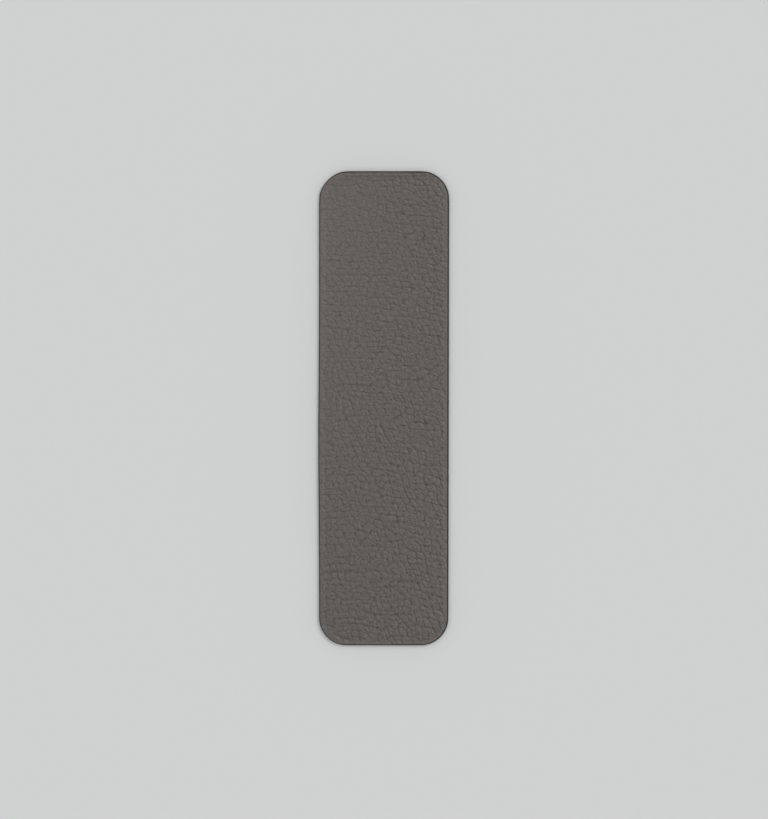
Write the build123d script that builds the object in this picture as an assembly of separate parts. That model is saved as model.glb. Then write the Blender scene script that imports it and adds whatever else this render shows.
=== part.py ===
from build123d import *
import os

# A flat leather bookmark: two leathers bonded back to back over a thin stiffener, with coated cut edges.
# It lies face up. X runs across it, Y along it, and the origin is the middle of its back face.

# Finished outline, in millimetres
bookmark_length = 145.0
bookmark_width = 40.0
corner_radius = 8.0

# Layers, from the back up
back_leather_thickness = 0.5
back_glue_thickness = 0.05
stiffener_thickness = 0.2
front_glue_thickness = 0.05
front_leather_thickness = 0.7

# Coats on the cut edge: a filler that levels the layers, and a lacquer that seals it in
filler_thickness = 0.1
lacquer_thickness = 0.3
lacquer_lip_height = 0.15
lacquer_roundover = 0.25
coat_setback = 0.05  # the coats stop this far short of either face

# Line pressed into both faces, all round, by an iron with a round nose
crease_inset = 1.65  # from the finished edge to the middle of the line
crease_nose_radius = 0.3
crease_depth = 0.08

# Heights of the layers, one on top of the other
back_glue_base = back_leather_thickness
stiffener_base = back_glue_base + back_glue_thickness
front_glue_base = stiffener_base + stiffener_thickness
front_leather_base = front_glue_base + front_glue_thickness
bookmark_thickness = front_leather_base + front_leather_thickness

# The layers are cut smaller than the finished outline by the two coats
cut_inset = filler_thickness + lacquer_thickness


def outline(inset):
    width = bookmark_width - 2 * inset
    length = bookmark_length - 2 * inset
    return RectangleRounded(width, length, corner_radius - inset)


def layer(base, thickness):
    return Pos(0, 0, base) * extrude(outline(cut_inset), thickness)


def edge_ring(outer_inset, inner_inset, base, height):
    return Pos(0, 0, base) * extrude(outline(outer_inset) - outline(inner_inset), height)


def crease_groove(nose_centre_height):
    line = Pos(0, 0, nose_centre_height) * outline(crease_inset).face().outer_wire()
    nose = Plane(origin=line @ 0, z_dir=line % 0) * Circle(crease_nose_radius)
    return sweep(nose, line)


def front_leather():
    sheet = layer(front_leather_base, front_leather_thickness)
    return sheet - crease_groove(bookmark_thickness - crease_depth + crease_nose_radius)


def back_leather():
    return layer(0, back_leather_thickness) - crease_groove(crease_depth - crease_nose_radius)


def edge_filler_coat():
    base = coat_setback + lacquer_lip_height
    return edge_ring(lacquer_thickness, cut_inset, base, bookmark_thickness - 2 * base)


def edge_lacquer_coat():
    ring = edge_ring(0, cut_inset, coat_setback, bookmark_thickness - 2 * coat_setback)
    caps = ring.faces().sort_by(Axis.Z)
    rims = caps[0].outer_wire().edges() + caps[-1].outer_wire().edges()
    return fillet(rims, lacquer_roundover) - edge_filler_coat()


parts = {
    "back_leather": back_leather(),
    "back_glue_film": layer(back_glue_base, back_glue_thickness),
    "stiffener": layer(stiffener_base, stiffener_thickness),
    "front_glue_film": layer(front_glue_base, front_glue_thickness),
    "front_leather": front_leather(),
    "edge_filler_coat": edge_filler_coat(),
    "edge_lacquer_coat": edge_lacquer_coat(),
}

os.makedirs("parts", exist_ok=True)
for node, shape in parts.items():
    export_step(shape, f"parts/{node}.step")
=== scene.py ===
import math
import bmesh
import bpy
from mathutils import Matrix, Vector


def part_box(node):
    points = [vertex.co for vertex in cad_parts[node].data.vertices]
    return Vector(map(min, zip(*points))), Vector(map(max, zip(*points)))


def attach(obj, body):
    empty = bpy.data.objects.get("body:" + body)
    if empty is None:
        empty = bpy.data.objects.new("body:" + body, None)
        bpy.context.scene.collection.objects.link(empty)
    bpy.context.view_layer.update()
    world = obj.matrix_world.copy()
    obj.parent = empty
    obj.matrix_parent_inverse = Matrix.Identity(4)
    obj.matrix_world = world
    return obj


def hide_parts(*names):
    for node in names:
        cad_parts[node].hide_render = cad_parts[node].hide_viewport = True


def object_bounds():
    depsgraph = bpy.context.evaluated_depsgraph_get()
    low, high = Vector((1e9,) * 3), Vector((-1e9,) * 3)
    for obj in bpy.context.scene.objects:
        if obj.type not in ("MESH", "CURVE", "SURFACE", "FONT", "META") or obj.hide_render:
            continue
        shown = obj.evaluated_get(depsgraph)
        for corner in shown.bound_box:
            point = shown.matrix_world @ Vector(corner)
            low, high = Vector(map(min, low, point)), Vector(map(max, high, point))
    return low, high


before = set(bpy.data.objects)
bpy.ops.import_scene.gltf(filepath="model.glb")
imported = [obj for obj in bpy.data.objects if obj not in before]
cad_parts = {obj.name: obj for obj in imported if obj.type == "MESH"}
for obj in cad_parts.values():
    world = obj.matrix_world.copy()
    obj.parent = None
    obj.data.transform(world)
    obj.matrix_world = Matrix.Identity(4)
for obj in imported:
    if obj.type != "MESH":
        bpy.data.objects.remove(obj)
cadLow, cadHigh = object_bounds()
mm = 0.001
sharpAngle = 50.0  # edges that turn by more degrees than this stay sharp
levelSlack = 0.01 * mm  # points this near to a level lie on it
noiseSpan = (0.3, 0.7)  # nearly all values of a noise lie between these
print("frame loaded, nodes:", ", ".join(sorted(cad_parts)))

# Outline that all the pieces share, with the small faults of a hand cut one
outline = {
    "halfWidth": cadHigh.x,
    "halfLength": cadHigh.y,
    "cornerRadius": 8.0 * mm,
    "leftBow": 0.25 * mm,  # the left side bows out by this much below the middle
    "leftBowAt": -11.0 * mm,
    "leftBowReach": 27.0 * mm,
    "leftRest": 0.8,  # and the rest of that side lies in by this share of the bow
    "rightDraw": 0.27 * mm,  # the right side draws in by this much from the head to the foot
    "rightStart": 1.1,  # half lengths from the middle to where that starts
    "trimTopLeft": 0.52 * mm,  # how much more is cut off each corner than the radius alone cuts
    "trimTopRight": 0.24 * mm,
    "trimBottomLeft": 0.15 * mm,
    "trimBottomRight": 0.17 * mm,
    "trimReach": 10.0 * mm,
    "trimDepth": 6.0 * mm,
    "trimFade": 1.5,  # more ends the trims more softly
    "cutShift": (-0.08 * mm, -0.05 * mm),  # the layers lie this far off centre in their edge coat
}


def pastCorner(x, y, lessWidth=0.0, lessLength=0.0):
    # how far a point lies past the start of the nearest corner's arc, across and along
    across = abs(x) - outline["halfWidth"] + lessWidth + outline["cornerRadius"]
    along = abs(y) - outline["halfLength"] + lessLength + outline["cornerRadius"]
    return across, along


def insetAt(x, y, lessWidth=0.0, lessLength=0.0):
    # distance in from the finished edge, or from a like outline drawn in from it
    across, along = pastCorner(x, y, lessWidth, lessLength)
    outside = math.hypot(max(across, 0), max(along, 0))
    return outline["cornerRadius"] - outside - min(max(across, along), 0)


def outwardAt(x, y):
    across, along = pastCorner(x, y)
    across, along = max(across, 0), max(along, 0)
    length = math.hypot(across, along) or 1  # 0 away from the edge
    return math.copysign(across / length, x), math.copysign(along / length, y)


def bySide(values, x, y):
    # blends values for the left, right, top and bottom by the side that a point lies towards
    left, right, top, bottom = values
    outX, outY = outwardAt(x, y)
    return outX**2 * (right if outX > 0 else left) + outY**2 * (top if outY > 0 else bottom)


def handCut(x, y):
    bow = math.exp(-(((y - outline["leftBowAt"]) / outline["leftBowReach"]) ** 2))
    left = outline["leftBow"] * (outline["leftRest"] - bow)
    right = outline["rightDraw"] * (y / outline["halfLength"] - outline["rightStart"]) / 2
    toRight = (1 + x / outline["halfWidth"]) / 2
    movedX = x + (1 - toRight) * left + toRight * right
    offDiagonal = (outline["halfWidth"] - abs(x) - outline["halfLength"] + abs(y)) / outline["trimReach"]
    depth = insetAt(x, y) / outline["trimDepth"]
    if abs(offDiagonal) >= 1 or depth >= 1:
        return movedX, y
    side = "Right" if x > 0 else "Left"
    trim = outline["trimTop" + side] if y > 0 else outline["trimBottom" + side]
    cut = trim * (1 - offDiagonal**2) ** outline["trimFade"] * (1 - depth) ** 2 / math.sqrt(2)
    return movedX - math.copysign(cut, x), y - math.copysign(cut, y)


# Short forms for operators and nodes
def selectOnly(piece):
    if bpy.context.object and bpy.context.object.mode == "EDIT":
        bpy.ops.object.mode_set(mode="OBJECT")
    bpy.ops.object.select_all(action="DESELECT")
    bpy.context.view_layer.objects.active = piece
    piece.select_set(True)


def selectOpenEdges():
    bpy.ops.mesh.select_mode(type="EDGE")
    bpy.ops.mesh.select_all(action="DESELECT")
    bpy.ops.mesh.select_non_manifold(
        use_wire=False, use_multi_face=False, use_non_contiguous=False, use_verts=False
    )


def addNode(tree, kind, values=None, **settings):
    made = tree.nodes.new(kind)
    for name, value in settings.items():
        setattr(made, name, value)
    for name, value in (values or {}).items():
        if isinstance(value, bpy.types.NodeSocket):
            tree.links.new(value, made.inputs[name])
        else:
            made.inputs[name].default_value = value
    return made


def calc(tree, operation, *values):
    return addNode(tree, "ShaderNodeMath", dict(enumerate(values)), operation=operation).outputs[0]


def vectorCalc(tree, operation, *values):
    return addNode(tree, "ShaderNodeVectorMath", dict(enumerate(values)), operation=operation).outputs[0]


def scaled(tree, vector, factor):
    return addNode(
        tree, "ShaderNodeVectorMath", {"Vector": vector, "Scale": factor}, operation="SCALE"
    ).outputs[0]


def inCells(tree, place, across, along):
    # places counted in cells of this size
    return vectorCalc(tree, "MULTIPLY", place, (1 / across, 1 / along, 0.0))


def ramp(tree, value, start, end, low=0.0, high=1.0):
    # eases from low to high as value goes from start to end
    return addNode(
        tree,
        "ShaderNodeMapRange",
        {"Value": value, "From Min": start, "From Max": end, "To Min": low, "To Max": high},
        interpolation_type="SMOOTHSTEP",
    ).outputs[0]


def noiseAt(tree, place, scale, detail=2.0, colour=False, shift=None):
    if shift:
        place = vectorCalc(tree, "ADD", place, shift)
    made = addNode(
        tree, "ShaderNodeTexNoise", {"Vector": place, "Scale": scale, "Detail": detail}, noise_dimensions="2D"
    )
    return made.outputs["Color" if colour else 0]


def attributeOf(tree, name):
    if tree.bl_idname == "GeometryNodeTree":
        return addNode(tree, "GeometryNodeInputNamedAttribute", {"Name": name}).outputs["Attribute"]
    return addNode(tree, "ShaderNodeAttribute", attribute_name=name).outputs["Fac"]


def newMaterial(name):
    material = bpy.data.materials.new(name)
    material.use_nodes = True
    tree = material.node_tree
    place = tree.nodes.new("ShaderNodeTexCoord").outputs["Object"]
    return material, tree, tree.nodes["Principled BSDF"], scaled(tree, place, 1 / mm)


def paint(tree, shader, colour, tone):
    tree.links.new(scaled(tree, colour, tone), shader.inputs["Base Color"])


# Leather grain, in millimetres: pebbles in leaning rows, finer wrinkles, soft ridges and a few long creases
grain = {
    "growAlong": 0.0011,  # the pebbles grow taller towards the foot of the strip, and narrower
    "growAcross": -0.0008,
    "lean": 0.38,  # their short sides run down to the right
    "fan": 0.3,  # and so do their rows, from level at the left to this slope at the right
    "drift": 2.6,  # three noises push the rows about, each finer than the one before
    "driftScale": 0.11,
    "waver": 0.4,
    "waverScale": 0.55,
    "shiver": 0.3,
    "shiverScale": 1.6,
    "pebble": 1.8,
    "pebbleStretch": 1.25,
    "pebbleCrease": 0.24,
    "wrinkle": 1.05,
    "wrinkleStretch": 1.1,
    "wrinkleCrease": 0.17,
    "flatness": 2.7,  # 2 makes round domes, more makes flat tops with deep corners
    "domeFall": 1.8,
    "domeBlend": 0.4,  # how softly a dome ends at its foot
    "scatter": 0.65,  # 0 makes all cells alike, 1 leaves their sizes to chance
    "ridge": 0.8,  # soft ridges run along the rows
    "ridgeStretch": 1.3,
    "ridgeRise": 0.33,  # how far the highest ridge stands over their mean
    "fadeScale": 1.1,  # the creases between the pebbles fade in and out
    "fadeSpan": (0.35, 0.65),
    "fadeLeast": 0.45,
    "patchScale": 1.0,  # and those between the wrinkles come in patches
    "patchSpan": (0.35, 0.57),
    "patchShift": (70.0, 35.0, 0.0),
    "longGap": 3.6,  # long creases lie about this far apart
    "longRun": 13.0,  # and run on for about this far
    "longCrease": 0.32,
    "longSpan": (0.5, 0.57),  # higher leaves fewer of them
    "alongShift": (40.0, 15.0, 0.0),
    "alongShare": 0.6,  # those along the rows are shallower
    "acrossShift": (10.0, 60.0, 0.0),
    "acrossTurn": 48.0,  # others cross the rows at this angle
    "acrossStart": (-8.0, 4.0),  # from the middle to near the right side
    "acrossEnd": (17.0, 12.0),
    "forceAcross": 0.005,  # per millimetre: the relief is bolder at the right and at the foot
    "forceAlong": -0.0013,
}


def cells(tree, place, kind):
    # domes round scattered middles, and the creases between them: 1 in the middle of a line, 0 off it
    cell = grain[kind]
    spot = inCells(tree, place, cell * grain[kind + "Stretch"], cell)
    found = {}
    for feature in ("F1", "DISTANCE_TO_EDGE"):
        found[feature] = addNode(
            tree,
            "ShaderNodeTexVoronoi",
            {"Vector": spot, "Scale": 1.0, "Randomness": grain["scatter"]},
            voronoi_dimensions="2D",
            feature=feature,
        ).outputs["Distance"]
    drop = calc(tree, "MULTIPLY", calc(tree, "POWER", found["F1"], grain["flatness"]), grain["domeFall"])
    dome = calc(tree, "SUBTRACT", 1.0, calc(tree, "SMOOTH_MIN", drop, 1.0, grain["domeBlend"]))
    return dome, ramp(tree, found["DISTANCE_TO_EDGE"], 0.0, grain[kind + "Crease"] / cell, 1.0, 0.0)


def longCreases(tree, spot, turn, shift):
    # creases that run on past many pebbles, each for a part of the way
    turned = addNode(
        tree, "ShaderNodeVectorRotate", {"Vector": spot, "Angle": math.radians(turn)}, rotation_type="Z_AXIS"
    ).outputs[0]
    over = addNode(tree, "ShaderNodeSeparateXYZ", {0: turned}).outputs["Y"]
    fromCrease = calc(tree, "PINGPONG", over, grain["longGap"] / 2)
    line = ramp(tree, fromCrease, 0.0, grain["longCrease"], 1.0, 0.0)
    spread = noiseAt(tree, inCells(tree, turned, grain["longRun"], grain["longGap"]), 1.0, shift=shift)
    return calc(tree, "MULTIPLY", line, ramp(tree, spread, *grain["longSpan"]))


def leatherGrain(tree, place, size):
    # the same nodes serve the mesh and the material, so that colour and relief agree
    place = scaled(tree, place, 1 / size)
    x, y, _ = addNode(tree, "ShaderNodeSeparateXYZ", {0: place}).outputs
    stretch = calc(tree, "MULTIPLY_ADD", y, grain["growAcross"], 1.0)
    v = calc(tree, "MULTIPLY", y, calc(tree, "MULTIPLY_ADD", y, grain["growAlong"], 1.0))
    u = calc(tree, "MULTIPLY_ADD", x, stretch, calc(tree, "MULTIPLY", y, grain["lean"]))
    fromLeft = calc(tree, "ADD", x, outline["halfWidth"] / mm)
    slope = grain["fan"] / 3 * (mm / (2 * outline["halfWidth"])) ** 2
    v = calc(tree, "MULTIPLY_ADD", calc(tree, "POWER", fromLeft, 3.0), slope, v)
    spot = addNode(tree, "ShaderNodeCombineXYZ", {"X": u, "Y": v}).outputs[0]
    for way in ("drift", "shiver", "waver"):
        push = noiseAt(tree, place, grain[way + "Scale"], 1.0, True)
        push = vectorCalc(tree, "SUBTRACT", push, (0.5, 0.5, 0.5))
        smoother, spot = spot, vectorCalc(tree, "ADD", spot, scaled(tree, push, grain[way]))
    pebbles, pebbleLines = cells(tree, spot, "pebble")
    wrinkles, wrinkleLines = cells(tree, spot, "wrinkle")
    alongRows = longCreases(tree, smoother, 0.0, grain["alongShift"])  # without the waver they run straighter
    alongRows = calc(tree, "MULTIPLY", alongRows, grain["alongShare"])
    acrossRows = longCreases(tree, smoother, grain["acrossTurn"], grain["acrossShift"])
    for limit in ("acrossStart", "acrossEnd"):
        acrossRows = calc(tree, "MULTIPLY", acrossRows, ramp(tree, x, *grain[limit]))
    ridges = noiseAt(tree, inCells(tree, spot, grain["ridge"] * grain["ridgeStretch"], grain["ridge"]), 1.0)
    fading = ramp(tree, noiseAt(tree, place, grain["fadeScale"]), *grain["fadeSpan"], grain["fadeLeast"], 1.0)
    patches = noiseAt(tree, place, grain["patchScale"], shift=grain["patchShift"])
    force = calc(tree, "MULTIPLY_ADD", x, grain["forceAcross"], 1.0)
    return {
        "pebbles": pebbles,
        "wrinkles": wrinkles,
        "ridges": calc(tree, "SUBTRACT", ridges, 0.5),
        "pebbleLines": calc(tree, "MULTIPLY", pebbleLines, fading),
        "wrinkleLines": calc(tree, "MULTIPLY", wrinkleLines, ramp(tree, patches, *grain["patchSpan"])),
        "longLines": calc(tree, "MAXIMUM", alongRows, acrossRows),
        "force": calc(tree, "MULTIPLY_ADD", y, grain["forceAlong"], force),
    }


def grainSum(tree, found, spec, what):
    # domes count from their tops down, creases from the level surface down. With the depths this gives the
    # relief; with the tones it gives painted shade, darker creases and dome feet, and painted light on the
    # ridges
    total = calc(tree, "MULTIPLY", calc(tree, "SUBTRACT", found["pebbles"], 1.0), spec["pebble" + what])
    wrinkles = calc(tree, "SUBTRACT", found["wrinkles"], 1.0)
    total = calc(tree, "MULTIPLY_ADD", wrinkles, spec["wrinkle" + what], total)
    total = calc(tree, "MULTIPLY_ADD", found["ridges"], spec["ridges" + what], total)
    for lines in ("pebbleLines", "wrinkleLines", "longLines"):
        total = calc(tree, "MULTIPLY_ADD", found[lines], -spec[lines + what], total)
    return calc(tree, "SMOOTH_MAX", total, -spec["deepest" + what], spec["deepest" + what] / 2)


def pressed(tree, spec, what):
    # what is left of the grain towards the edge, and the line pressed along it
    fromEdge, fromLine = attributeOf(tree, "fromEdge"), attributeOf(tree, "fromLine")
    calm = ramp(tree, fromEdge, spec["calmInset"], spec["fullInset"], spec["calm" + what], 1.0)
    line = ramp(tree, calc(tree, "ABSOLUTE", fromLine), 0.0, spec["lineHalfWidth"], 1.0, 0.0)
    return fromEdge, calm, calc(tree, "MULTIPLY", line, attributeOf(tree, "linePress"))


def sheetMesh(name, spec, thickness):
    # a grid shaped to the rounded outline, ringed to the cut edge, then given its walls and underside
    radius = outline["cornerRadius"] - spec["gridInset"]
    halfWidth = outline["halfWidth"] - spec["gridInset"]
    halfLength = outline["halfLength"] - spec["gridInset"]
    straight = halfLength - radius
    cornerRows = round(radius * math.pi / 2 / spec["square"])
    straightRows = round(2 * straight / spec["square"])
    rows = []
    for k in range(cornerRows, 0, -1):
        turn = k / cornerRows * math.pi / 2
        rows.append((-straight - radius * math.sin(turn), halfWidth - radius + radius * math.cos(turn)))
    for k in range(straightRows + 1):
        rows.append((straight * (2 * k / straightRows - 1), halfWidth))
    rows += [(-y, half) for y, half in reversed(rows[:cornerRows])]
    columns = round(2 * halfWidth / spec["square"])
    bpy.ops.object.select_all(action="DESELECT")
    bpy.ops.mesh.primitive_grid_add(x_subdivisions=columns, y_subdivisions=len(rows) - 1, size=2)
    sheet = bpy.context.object
    sheet.name = sheet.data.name = name
    for vertex in sheet.data.vertices:
        y, half = rows[round((vertex.co.y + 1) / 2 * (len(rows) - 1))]
        vertex.co.x *= half
        vertex.co.y = y
    bpy.ops.object.mode_set(mode="EDIT")
    selectOpenEdges()
    last = spec["gridInset"]
    for inset in spec["ringInsets"]:
        bpy.ops.mesh.extrude_region()
        shape = bmesh.from_edit_mesh(sheet.data)
        for vertex in shape.verts:
            if vertex.select:
                outX, outY = outwardAt(vertex.co.x, vertex.co.y)
                vertex.co.x += outX * (last - inset * mm)
                vertex.co.y += outY * (last - inset * mm)
        last = inset * mm
    bmesh.update_edit_mesh(sheet.data)
    bpy.ops.mesh.extrude_region()
    bpy.ops.transform.translate(value=(0, 0, -thickness))
    bpy.ops.mesh.edge_face_add()
    bpy.ops.mesh.quads_convert_to_tris(ngon_method="BEAUTY")
    bpy.ops.mesh.select_all(action="SELECT")
    bpy.ops.mesh.normals_make_consistent(inside=False)
    bpy.ops.object.mode_set(mode="OBJECT")
    left, right, top, bottom = (inset * mm for inset in spec["lineInsets"])
    lineMiddle = (left - right) / 2, (bottom - top) / 2
    lineIn = (left + right) / 2, (bottom + top) / 2
    spots = [vertex.co.xy for vertex in sheet.data.vertices]
    marks = {
        "fromEdge": [insetAt(x, y) / mm for x, y in spots],
        "fromLine": [insetAt(x - lineMiddle[0], y - lineMiddle[1], *lineIn) / mm for x, y in spots],
        "linePress": [bySide(spec["linePress"], x, y) for x, y in spots],
        # painted light: how much lighter the band outside the pressed line is, set per side as the light
        # falls there
        "bandPaintedLightShare": [bySide(spec["bandPaintedLight"], x, y) for x, y in spots],
    }
    for mark, values in marks.items():
        sheet.data.attributes.new(mark, "FLOAT", "POINT").data.foreach_set("value", values)
    return sheet


def pressGrain(sheet, spec):
    tree = bpy.data.node_groups.new(sheet.name + "Relief", "GeometryNodeTree")
    tree.interface.new_socket("Geometry", in_out="INPUT", socket_type="NodeSocketGeometry")
    tree.interface.new_socket("Geometry", in_out="OUTPUT", socket_type="NodeSocketGeometry")
    start, end = tree.nodes.new("NodeGroupInput"), tree.nodes.new("NodeGroupOutput")
    here = tree.nodes.new("GeometryNodeInputPosition").outputs[0]
    found = leatherGrain(tree, scaled(tree, here, 1 / mm), spec["grainSize"])
    fromEdge, calm, line = pressed(tree, spec, "Depth")
    relief = grainSum(tree, found, spec, "Depth")
    relief = calc(tree, "SUBTRACT", relief, spec["ridgesDepth"] * grain["ridgeRise"])
    relief = calc(tree, "MULTIPLY", relief, calc(tree, "MULTIPLY", calm, found["force"]))
    relief = calc(tree, "MULTIPLY_ADD", line, -spec["lineDepth"], relief)
    rolled = addNode(
        tree,
        "ShaderNodeMapRange",
        {"Value": fromEdge, "From Min": spec["rimInset"], "From Max": spec["ringInsets"][-1]},
    ).outputs[0]
    relief = calc(tree, "MULTIPLY_ADD", calc(tree, "POWER", rolled, 2.0), -spec["rimDrop"], relief)
    height = addNode(tree, "ShaderNodeSeparateXYZ", {0: here}).outputs["Z"]
    onFace = calc(tree, "GREATER_THAN", height, -levelSlack)
    relief = calc(tree, "MULTIPLY", calc(tree, "MULTIPLY", relief, mm), onFace)
    offset = addNode(tree, "ShaderNodeCombineXYZ", {"Z": relief}).outputs[0]
    moved = addNode(tree, "GeometryNodeSetPosition", {"Geometry": start.outputs[0], "Offset": offset})
    tree.links.new(moved.outputs[0], end.inputs[0])
    modifier = sheet.modifiers.new("relief", "NODES")
    modifier.node_group = tree
    selectOnly(sheet)
    bpy.ops.object.modifier_apply(modifier=modifier.name)


def settle(piece, lift, shift=(0, 0), faceDown=False):
    # hand cut outline, then the piece's place, all in its mesh
    for vertex in piece.data.vertices:
        if faceDown:
            vertex.co.x, vertex.co.z = -vertex.co.x, -vertex.co.z
        x, y = handCut(vertex.co.x, vertex.co.y)
        vertex.co = (x + shift[0], y + shift[1], vertex.co.z + lift)
    selectOnly(piece)
    bpy.ops.object.shade_smooth_by_angle(angle=math.radians(sharpAngle))


def seat(piece, node):
    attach(piece, "root")
    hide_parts(node)
    print(node, "modelled with", len(piece.data.polygons), "faces")


# Front leather: sizes of its mesh in metres, insets and depths in millimetres, tones as shares of its colour
frontLeather = {
    "square": 0.28 * mm,  # size of the mesh's squares
    "gridInset": 2.6 * mm,  # rings follow the outline outside this, a grid of squares fills the rest
    "ringInsets": (
        2.35, 2.2, 2.08, 1.98, 1.89, 1.8, 1.71, 1.62, 1.53, 1.44, 1.35,  # close together at the line
        1.25, 1.12, 0.95, 0.75, 0.58, 0.47, 0.4,  # and at the rim
    ),
    "grainSize": 1.0,
    "pebbleDepth": 0.078,
    "wrinkleDepth": 0.045,
    "ridgesDepth": 0.06,
    "pebbleLinesDepth": 0.08,
    "wrinkleLinesDepth": 0.04,
    "longLinesDepth": 0.08,
    "deepestDepth": 0.22,
    "calmInset": 0.9,  # the grain is pressed flatter towards the edge
    "fullInset": 2.0,
    "calmDepth": 0.45,  # to this share of its depth
    "calmTone": 0.8,
    "lineInsets": (2.05, 1.35, 1.85, 1.5),  # at the left, right, top and bottom: it lies a little off centre
    "lineHalfWidth": 0.7,
    "lineDepth": 0.15,
    "linePress": (0.4, 0.4, 1.3, 1.0),  # how hard it is pressed at each of those sides
    "rimInset": 1.3,  # the rim rolls over from here
    "rimDrop": 0.04,
    "colour": (0.104, 0.0915, 0.083),
    # painted shade and light: these tones darken the feet of the domes, the creases and the hollows between
    # the ridges, and lighten the ridge tops
    "pebbleTone": 0.12,
    "wrinkleTone": 0.12,
    "ridgesTone": 0.6,
    "pebbleLinesTone": 0.265,
    "wrinkleLinesTone": 0.27,
    "longLinesTone": 0.26,
    "deepestTone": 0.62,
    "toneMean": 1.053,
    "footDark": 0.00062,  # per millimetre: the colour is lighter at the head of the strip
    "rightDark": 0.0007,
    "twist": 0.000038,  # and more so at the left, while the foot is lighter at the right
    "bandSpan": (0.7, 0.2),  # the band outside the line fades out this far inside it
    # painted light: the band is made lighter or darker per side as the light falls on it
    "bandPaintedLight": (0.07, 0.155, -0.02, 0.075),  # at the left, right, top and bottom
    # painted shade: darkens the pressed line's groove by this share
    "linePaintedShade": 0.03,
    "bumpShare": 0.34,
    "fineBump": 0.06,
    "fineScale": 2.5,  # a fine noise gives speckle, painted glints, gloss and the last of the bump
    "fineDetail": 3.0,
    "speckle": 0.12,
    # painted highlights: glints as lighter specks in the colour
    "glint": 0.5,
    "glintSpan": (0.58, 0.74),
    "roughSpan": (0.34, 0.46),
    "roughShift": 0.4,  # how much rougher the dark creases are
}


def leatherFinish(name, spec):
    material, tree, shader, place = newMaterial(name)
    found = leatherGrain(tree, place, spec["grainSize"])
    _, calm, line = pressed(tree, spec, "Tone")
    calm = calc(tree, "MULTIPLY", calm, found["force"])
    fine = noiseAt(tree, place, spec["fineScale"], spec["fineDetail"])
    # painted shade: the grain's creases and hollows darker and its ridge tops lighter, in the colour itself
    shift = grainSum(tree, found, spec, "Tone")
    shift = calc(tree, "MULTIPLY_ADD", calc(tree, "SUBTRACT", fine, 0.5), spec["speckle"], shift)
    # painted highlights: small lighter glints in the colour
    shift = calc(tree, "MULTIPLY_ADD", ramp(tree, fine, *spec["glintSpan"]), spec["glint"], shift)
    tone = calc(tree, "MULTIPLY_ADD", shift, calm, spec["toneMean"])
    x, y, _ = addNode(tree, "ShaderNodeSeparateXYZ", {0: place}).outputs
    tone = calc(tree, "MULTIPLY_ADD", y, spec["footDark"], tone)
    slope = calc(tree, "MULTIPLY_ADD", y, -spec["twist"], -spec["rightDark"])
    tone = calc(tree, "MULTIPLY_ADD", x, slope, tone)
    # painted light: the band outside the pressed line lighter, by a share set per side
    band = ramp(tree, attributeOf(tree, "fromLine"), *spec["bandSpan"])
    tone = calc(tree, "MULTIPLY_ADD", band, attributeOf(tree, "bandPaintedLightShare"), tone)
    # painted shade in the pressed line
    tone = calc(tree, "MULTIPLY_ADD", line, -spec["linePaintedShade"], tone)
    paint(tree, shader, spec["colour"], tone)
    rough = ramp(tree, fine, *noiseSpan, *spec["roughSpan"])
    rough = calc(tree, "MULTIPLY_ADD", shift, -spec["roughShift"], rough)
    tree.links.new(rough, shader.inputs["Roughness"])
    height = calc(tree, "MULTIPLY", grainSum(tree, found, spec, "Depth"), spec["bumpShare"])
    height = calc(tree, "MULTIPLY", calc(tree, "MULTIPLY_ADD", fine, spec["fineBump"], height), calm)
    bump = addNode(tree, "ShaderNodeBump", {"Height": height, "Strength": 1.0, "Distance": mm})
    tree.links.new(bump.outputs[0], shader.inputs["Normal"])
    return material


frontLow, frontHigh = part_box("front_leather")
front = sheetMesh("frontLeather", frontLeather, frontHigh.z - frontLow.z)
pressGrain(front, frontLeather)
settle(front, frontHigh.z, outline["cutShift"])
front.data.materials.append(leatherFinish("grainedLeather", frontLeather))
seat(front, "front_leather")

# Back leather: a thinner lining of the same hide, with a finer and flatter grain, face down
backLeather = {
    **frontLeather,
    "square": 0.36 * mm,
    "grainSize": 0.85,
    "pebbleDepth": 0.06,
    "wrinkleDepth": 0.02,
    "ridgesDepth": 0.05,
    "pebbleLinesDepth": 0.04,
    "wrinkleLinesDepth": 0.02,
    "longLinesDepth": 0.02,
    "colour": (0.1, 0.09, 0.083),
    # painted shade in the creases and painted glints, weaker than at the front
    "pebbleLinesTone": 0.14,
    "longLinesTone": 0.1,
    "glint": 0.2,
}
backLow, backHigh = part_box("back_leather")
back = sheetMesh("backLeather", backLeather, backHigh.z - backLow.z)
pressGrain(back, backLeather)
settle(back, backLow.z, outline["cutShift"], faceDown=True)
back.data.materials.append(leatherFinish("liningLeather", backLeather))
seat(back, "back_leather")

# Coats round the cut edge: a domed bead of lacquer, and the filler that it seals in
edgeCoats = {
    "step": 0.6 * mm,
    "lap": 0.1 * mm,  # how far the lacquer laps over the leathers
    "faceGap": 0.17 * mm,  # its lips end this far from the faces' levels
    "fullness": 2.5,  # 2 is an ellipse, more is boxier
    "domePoints": 14,
    "cloudScale": 0.6,
    "cloudDetail": 3.0,
    "cloudTones": (0.85, 1.15),
    "specular": 0.3,
    "lacquerColour": (0.02, 0.02, 0.021),
    "lacquerRough": (0.4, 0.5),
    "fillerColour": (0.05, 0.048, 0.046),
    "fillerRough": (0.6, 0.75),
}


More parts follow.
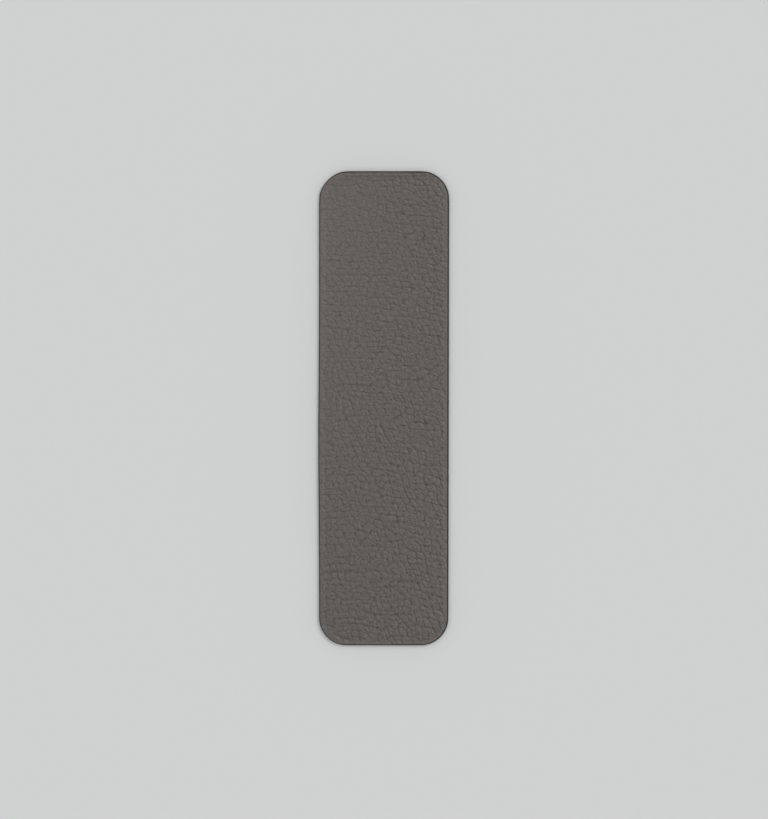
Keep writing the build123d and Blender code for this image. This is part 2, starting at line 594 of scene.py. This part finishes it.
def outlinePoints(step):
    radius = outline["cornerRadius"]
    acrossHalf = outline["halfWidth"] - radius
    alongHalf = outline["halfLength"] - radius
    corners = ((1, 1, 0), (-1, 1, 90), (-1, -1, 180), (1, -1, 270))
    points = []
    for k, (sideX, sideY, turn) in enumerate(corners):
        count = round(radius * math.pi / 2 / step)
        for i in range(count + 1):
            angle = math.radians(turn + 90 * i / count)
            points.append((
                sideX * acrossHalf + radius * math.cos(angle), sideY * alongHalf + radius * math.sin(angle)
            ))
        nextX, nextY, nextTurn = corners[(k + 1) % 4]
        endX = nextX * acrossHalf + radius * math.cos(math.radians(nextTurn))
        endY = nextY * alongHalf + radius * math.sin(math.radians(nextTurn))
        fromX, fromY = points[-1]
        count = round(math.hypot(endX - fromX, endY - fromY) / step)
        points += [
            (fromX + (endX - fromX) * i / count, fromY + (endY - fromY) * i / count) for i in range(1, count)
        ]
    return points


def beadProfile(lip, thickness):
    half = thickness / 2 - edgeCoats["faceGap"]
    power = 2 / edgeCoats["fullness"]
    profile = []
    for i in range(edgeCoats["domePoints"] + 1):
        angle = math.pi * (i / edgeCoats["domePoints"] - 0.5)
        out = abs(math.cos(angle)) ** power
        up = math.copysign(abs(math.sin(angle)) ** power, angle)
        profile.append((lip * (1 - out), thickness / 2 + half * up))
    return profile


def edgeRing(name, profile):
    # the profile's first point goes round the outline, and each next one is extruded from it
    points = outlinePoints(edgeCoats["step"])
    bpy.ops.object.select_all(action="DESELECT")
    bpy.ops.mesh.primitive_circle_add(vertices=len(points), radius=1)
    ring = bpy.context.object
    ring.name = ring.data.name = name
    last, height = profile[0]
    for vertex, (x, y) in zip(ring.data.vertices, points):
        outX, outY = outwardAt(x, y)
        vertex.co = (x - outX * last, y - outY * last, height)
    bpy.ops.object.mode_set(mode="EDIT")
    bpy.ops.mesh.select_mode(type="EDGE")
    bpy.ops.mesh.select_all(action="SELECT")
    for inset, height in profile[1:]:
        bpy.ops.mesh.extrude_region()
        shape = bmesh.from_edit_mesh(ring.data)
        for vertex in shape.verts:
            if vertex.select:
                outX, outY = outwardAt(vertex.co.x, vertex.co.y)
                vertex.co.x += outX * (last - inset)
                vertex.co.y += outY * (last - inset)
                vertex.co.z = height
        last = inset
    bmesh.update_edit_mesh(ring.data)
    selectOpenEdges()
    bpy.ops.mesh.bridge_edge_loops()
    bpy.ops.mesh.select_all(action="SELECT")
    bpy.ops.mesh.normals_make_consistent(inside=False)
    bpy.ops.object.mode_set(mode="OBJECT")
    settle(ring, 0)
    return ring


def coatFinish(name, colour, rough):
    material, tree, shader, place = newMaterial(name)
    cloudy = noiseAt(tree, place, edgeCoats["cloudScale"], edgeCoats["cloudDetail"])
    paint(tree, shader, colour, ramp(tree, cloudy, *noiseSpan, *edgeCoats["cloudTones"]))
    tree.links.new(ramp(tree, cloudy, *noiseSpan, *rough), shader.inputs["Roughness"])
    shader.inputs["Specular IOR Level"].default_value = edgeCoats["specular"]
    return material


cutInset = outline["halfWidth"] - frontHigh.x
bead = edgeRing("edgeLacquer", beadProfile(cutInset + edgeCoats["lap"], cadHigh.z))
bead.data.materials.append(coatFinish("darkLacquer", edgeCoats["lacquerColour"], edgeCoats["lacquerRough"]))
seat(bead, "edge_lacquer_coat")

fillerLow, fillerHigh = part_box("edge_filler_coat")
fillerInset = outline["halfWidth"] - fillerHigh.x
filler = edgeRing("edgeFiller", (
    (cutInset, fillerLow.z), (fillerInset, fillerLow.z), (fillerInset, fillerHigh.z), (cutInset, fillerHigh.z)
))
fillerFinish = coatFinish("edgeFillerCoat", edgeCoats["fillerColour"], edgeCoats["fillerRough"])
filler.data.materials.append(fillerFinish)
seat(filler, "edge_filler_coat")

# Board and glue between the leathers
core = {
    "boardColour": (0.2, 0.14, 0.09),
    "fibres": (6.0, 0.8, 1.0),  # per millimetre: they run along the strip
    "fibreDetail": 4.0,
    "fibreTones": (0.75, 1.2),
    "fibreBump": 0.4,
    "fibreHeight": 0.05 * mm,
    "flecks": 1.4,
    "fleckSpan": (0.3, 0.65),
    "fleckTones": (0.85, 1.05),
    "boardRough": (0.8, 0.95),
    "glueColour": (0.45, 0.36, 0.2),
    "strokes": (0.3, 2.2, 1.0),  # per millimetre: the glue is brushed on across the strip
    "strokeDetail": 3.0,
    "strokeTones": (0.8, 1.15),
    "glueRough": (0.35, 0.55),
}


def fibreBoard():
    material, tree, shader, place = newMaterial("fibreBoard")
    fibres = noiseAt(tree, vectorCalc(tree, "MULTIPLY", place, core["fibres"]), 1.0, core["fibreDetail"])
    flecks = ramp(tree, noiseAt(tree, place, core["flecks"]), *core["fleckSpan"], *core["fleckTones"])
    tone = calc(tree, "MULTIPLY", ramp(tree, fibres, *noiseSpan, *core["fibreTones"]), flecks)
    paint(tree, shader, core["boardColour"], tone)
    tree.links.new(ramp(tree, fibres, *noiseSpan, *core["boardRough"]), shader.inputs["Roughness"])
    bump = addNode(
        tree,
        "ShaderNodeBump",
        {"Height": fibres, "Strength": core["fibreBump"], "Distance": core["fibreHeight"]},
    )
    tree.links.new(bump.outputs[0], shader.inputs["Normal"])
    return material


def contactGlue():
    material, tree, shader, place = newMaterial("contactGlue")
    brushed = noiseAt(tree, vectorCalc(tree, "MULTIPLY", place, core["strokes"]), 1.0, core["strokeDetail"])
    paint(tree, shader, core["glueColour"], ramp(tree, brushed, *noiseSpan, *core["strokeTones"]))
    tree.links.new(ramp(tree, brushed, *noiseSpan, *core["glueRough"]), shader.inputs["Roughness"])
    return material


def flatLayer(name, node):
    low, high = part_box(node)
    points = outlinePoints(edgeCoats["step"])
    bpy.ops.object.select_all(action="DESELECT")
    bpy.ops.mesh.primitive_circle_add(vertices=len(points), radius=1, fill_type="NGON")
    layer = bpy.context.object
    layer.name = layer.data.name = name
    for vertex, (x, y) in zip(layer.data.vertices, points):
        outX, outY = outwardAt(x, y)
        vertex.co = (x - outX * cutInset, y - outY * cutInset, 0)
    bpy.ops.object.mode_set(mode="EDIT")
    bpy.ops.mesh.select_all(action="SELECT")
    bpy.ops.mesh.quads_convert_to_tris(ngon_method="BEAUTY")
    bpy.ops.mesh.extrude_region()
    bpy.ops.transform.translate(value=(0, 0, high.z - low.z))
    bpy.ops.mesh.select_all(action="SELECT")
    bpy.ops.mesh.normals_make_consistent(inside=False)
    bpy.ops.object.mode_set(mode="OBJECT")
    settle(layer, low.z, outline["cutShift"])
    return layer


board = flatLayer("coreBoard", "stiffener")
board.data.materials.append(fibreBoard())
seat(board, "stiffener")
glueFinish = contactGlue()
for name, node in (("frontGlue", "front_glue_film"), ("backGlue", "back_glue_film")):
    glue = flatLayer(name, node)
    glue.data.materials.append(glueFinish)
    seat(glue, node)

# Floor, light and camera
studio = {
    "floorSize": 6.0,
    "floorRough": 0.9,
    "floorColour": (0.6385, 0.647, 0.643),
    "horizon": 0.55,
    "zenith": 1.013,
    "lowGlow": 3.0,  # a brighter band of wall just above the floor
    "lowGlowSpan": (0.06, 0.18),
    "lampStrength": 0.65,
    "lampHeight": 50.0,
    "lampTurn": 40.0,  # it stands at the upper right
    "lampSoftness": 20.0,
    "viewHeight": 1.0,
    "frameHeight": 250.5 * mm,  # what the picture's height takes in at the bookmark
    "centre": (0.035 * mm, -0.4 * mm),
    "sensor": 36.0,
}

bpy.ops.object.select_all(action="DESELECT")
bpy.ops.mesh.primitive_plane_add(size=studio["floorSize"])
floor = bpy.context.object
floor.name = floor.data.name = "floor"
floorPaint = bpy.data.materials.new("floorPaint")
floorPaint.use_nodes = True
floorShader = floorPaint.node_tree.nodes["Principled BSDF"]
floorShader.inputs["Base Color"].default_value = (*studio["floorColour"], 1)
floorShader.inputs["Roughness"].default_value = studio["floorRough"]
floorShader.inputs["Specular IOR Level"].default_value = 0.0
floor.data.materials.append(floorPaint)

world = bpy.data.worlds.new("studioDome")
bpy.context.scene.world = world
world.use_nodes = True
sky = world.node_tree
background = sky.nodes["Background"]
direction = sky.nodes.new("ShaderNodeTexCoord").outputs["Generated"]
up = addNode(sky, "ShaderNodeSeparateXYZ", {0: direction}).outputs["Z"]
up = calc(sky, "MAXIMUM", up, 0.0)
rise = studio["zenith"] - studio["horizon"]
glow = calc(sky, "MULTIPLY_ADD", calc(sky, "POWER", up, 2.0), rise, studio["horizon"])
glow = calc(sky, "ADD", glow, ramp(sky, up, *studio["lowGlowSpan"], studio["lowGlow"], 0.0))
rays = sky.nodes.new("ShaderNodeLightPath").outputs
shown = calc(sky, "MAXIMUM", rays["Is Camera Ray"], rays["Is Glossy Ray"])
shown = calc(sky, "MAXIMUM", shown, rays["Is Transmission Ray"])
wall = addNode(sky, "ShaderNodeMixRGB", {"Fac": shown, "Color1": glow, "Color2": (*studio["floorColour"], 1)})
sky.links.new(wall.outputs[0], background.inputs["Color"])

lampData = bpy.data.lights.new("softLamp", "SUN")
lampData.energy = studio["lampStrength"]
lampData.angle = math.radians(studio["lampSoftness"])
lamp = bpy.data.objects.new("softLamp", lampData)
bpy.context.scene.collection.objects.link(lamp)
lamp.rotation_euler = (0, math.radians(90 - studio["lampHeight"]), math.radians(studio["lampTurn"]))

cameraData = bpy.data.cameras.new("camera")
camera = bpy.data.objects.new("camera", cameraData)
bpy.context.scene.collection.objects.link(camera)
camera.location = (*studio["centre"], studio["viewHeight"])
cameraData.sensor_width = studio["sensor"]
cameraData.lens = studio["sensor"] * (studio["viewHeight"] - cadHigh.z / 2) / studio["frameHeight"]
bpy.context.scene.camera = camera
bpy.context.scene.view_settings.view_transform = "Standard"
print("floor, light and camera ready")
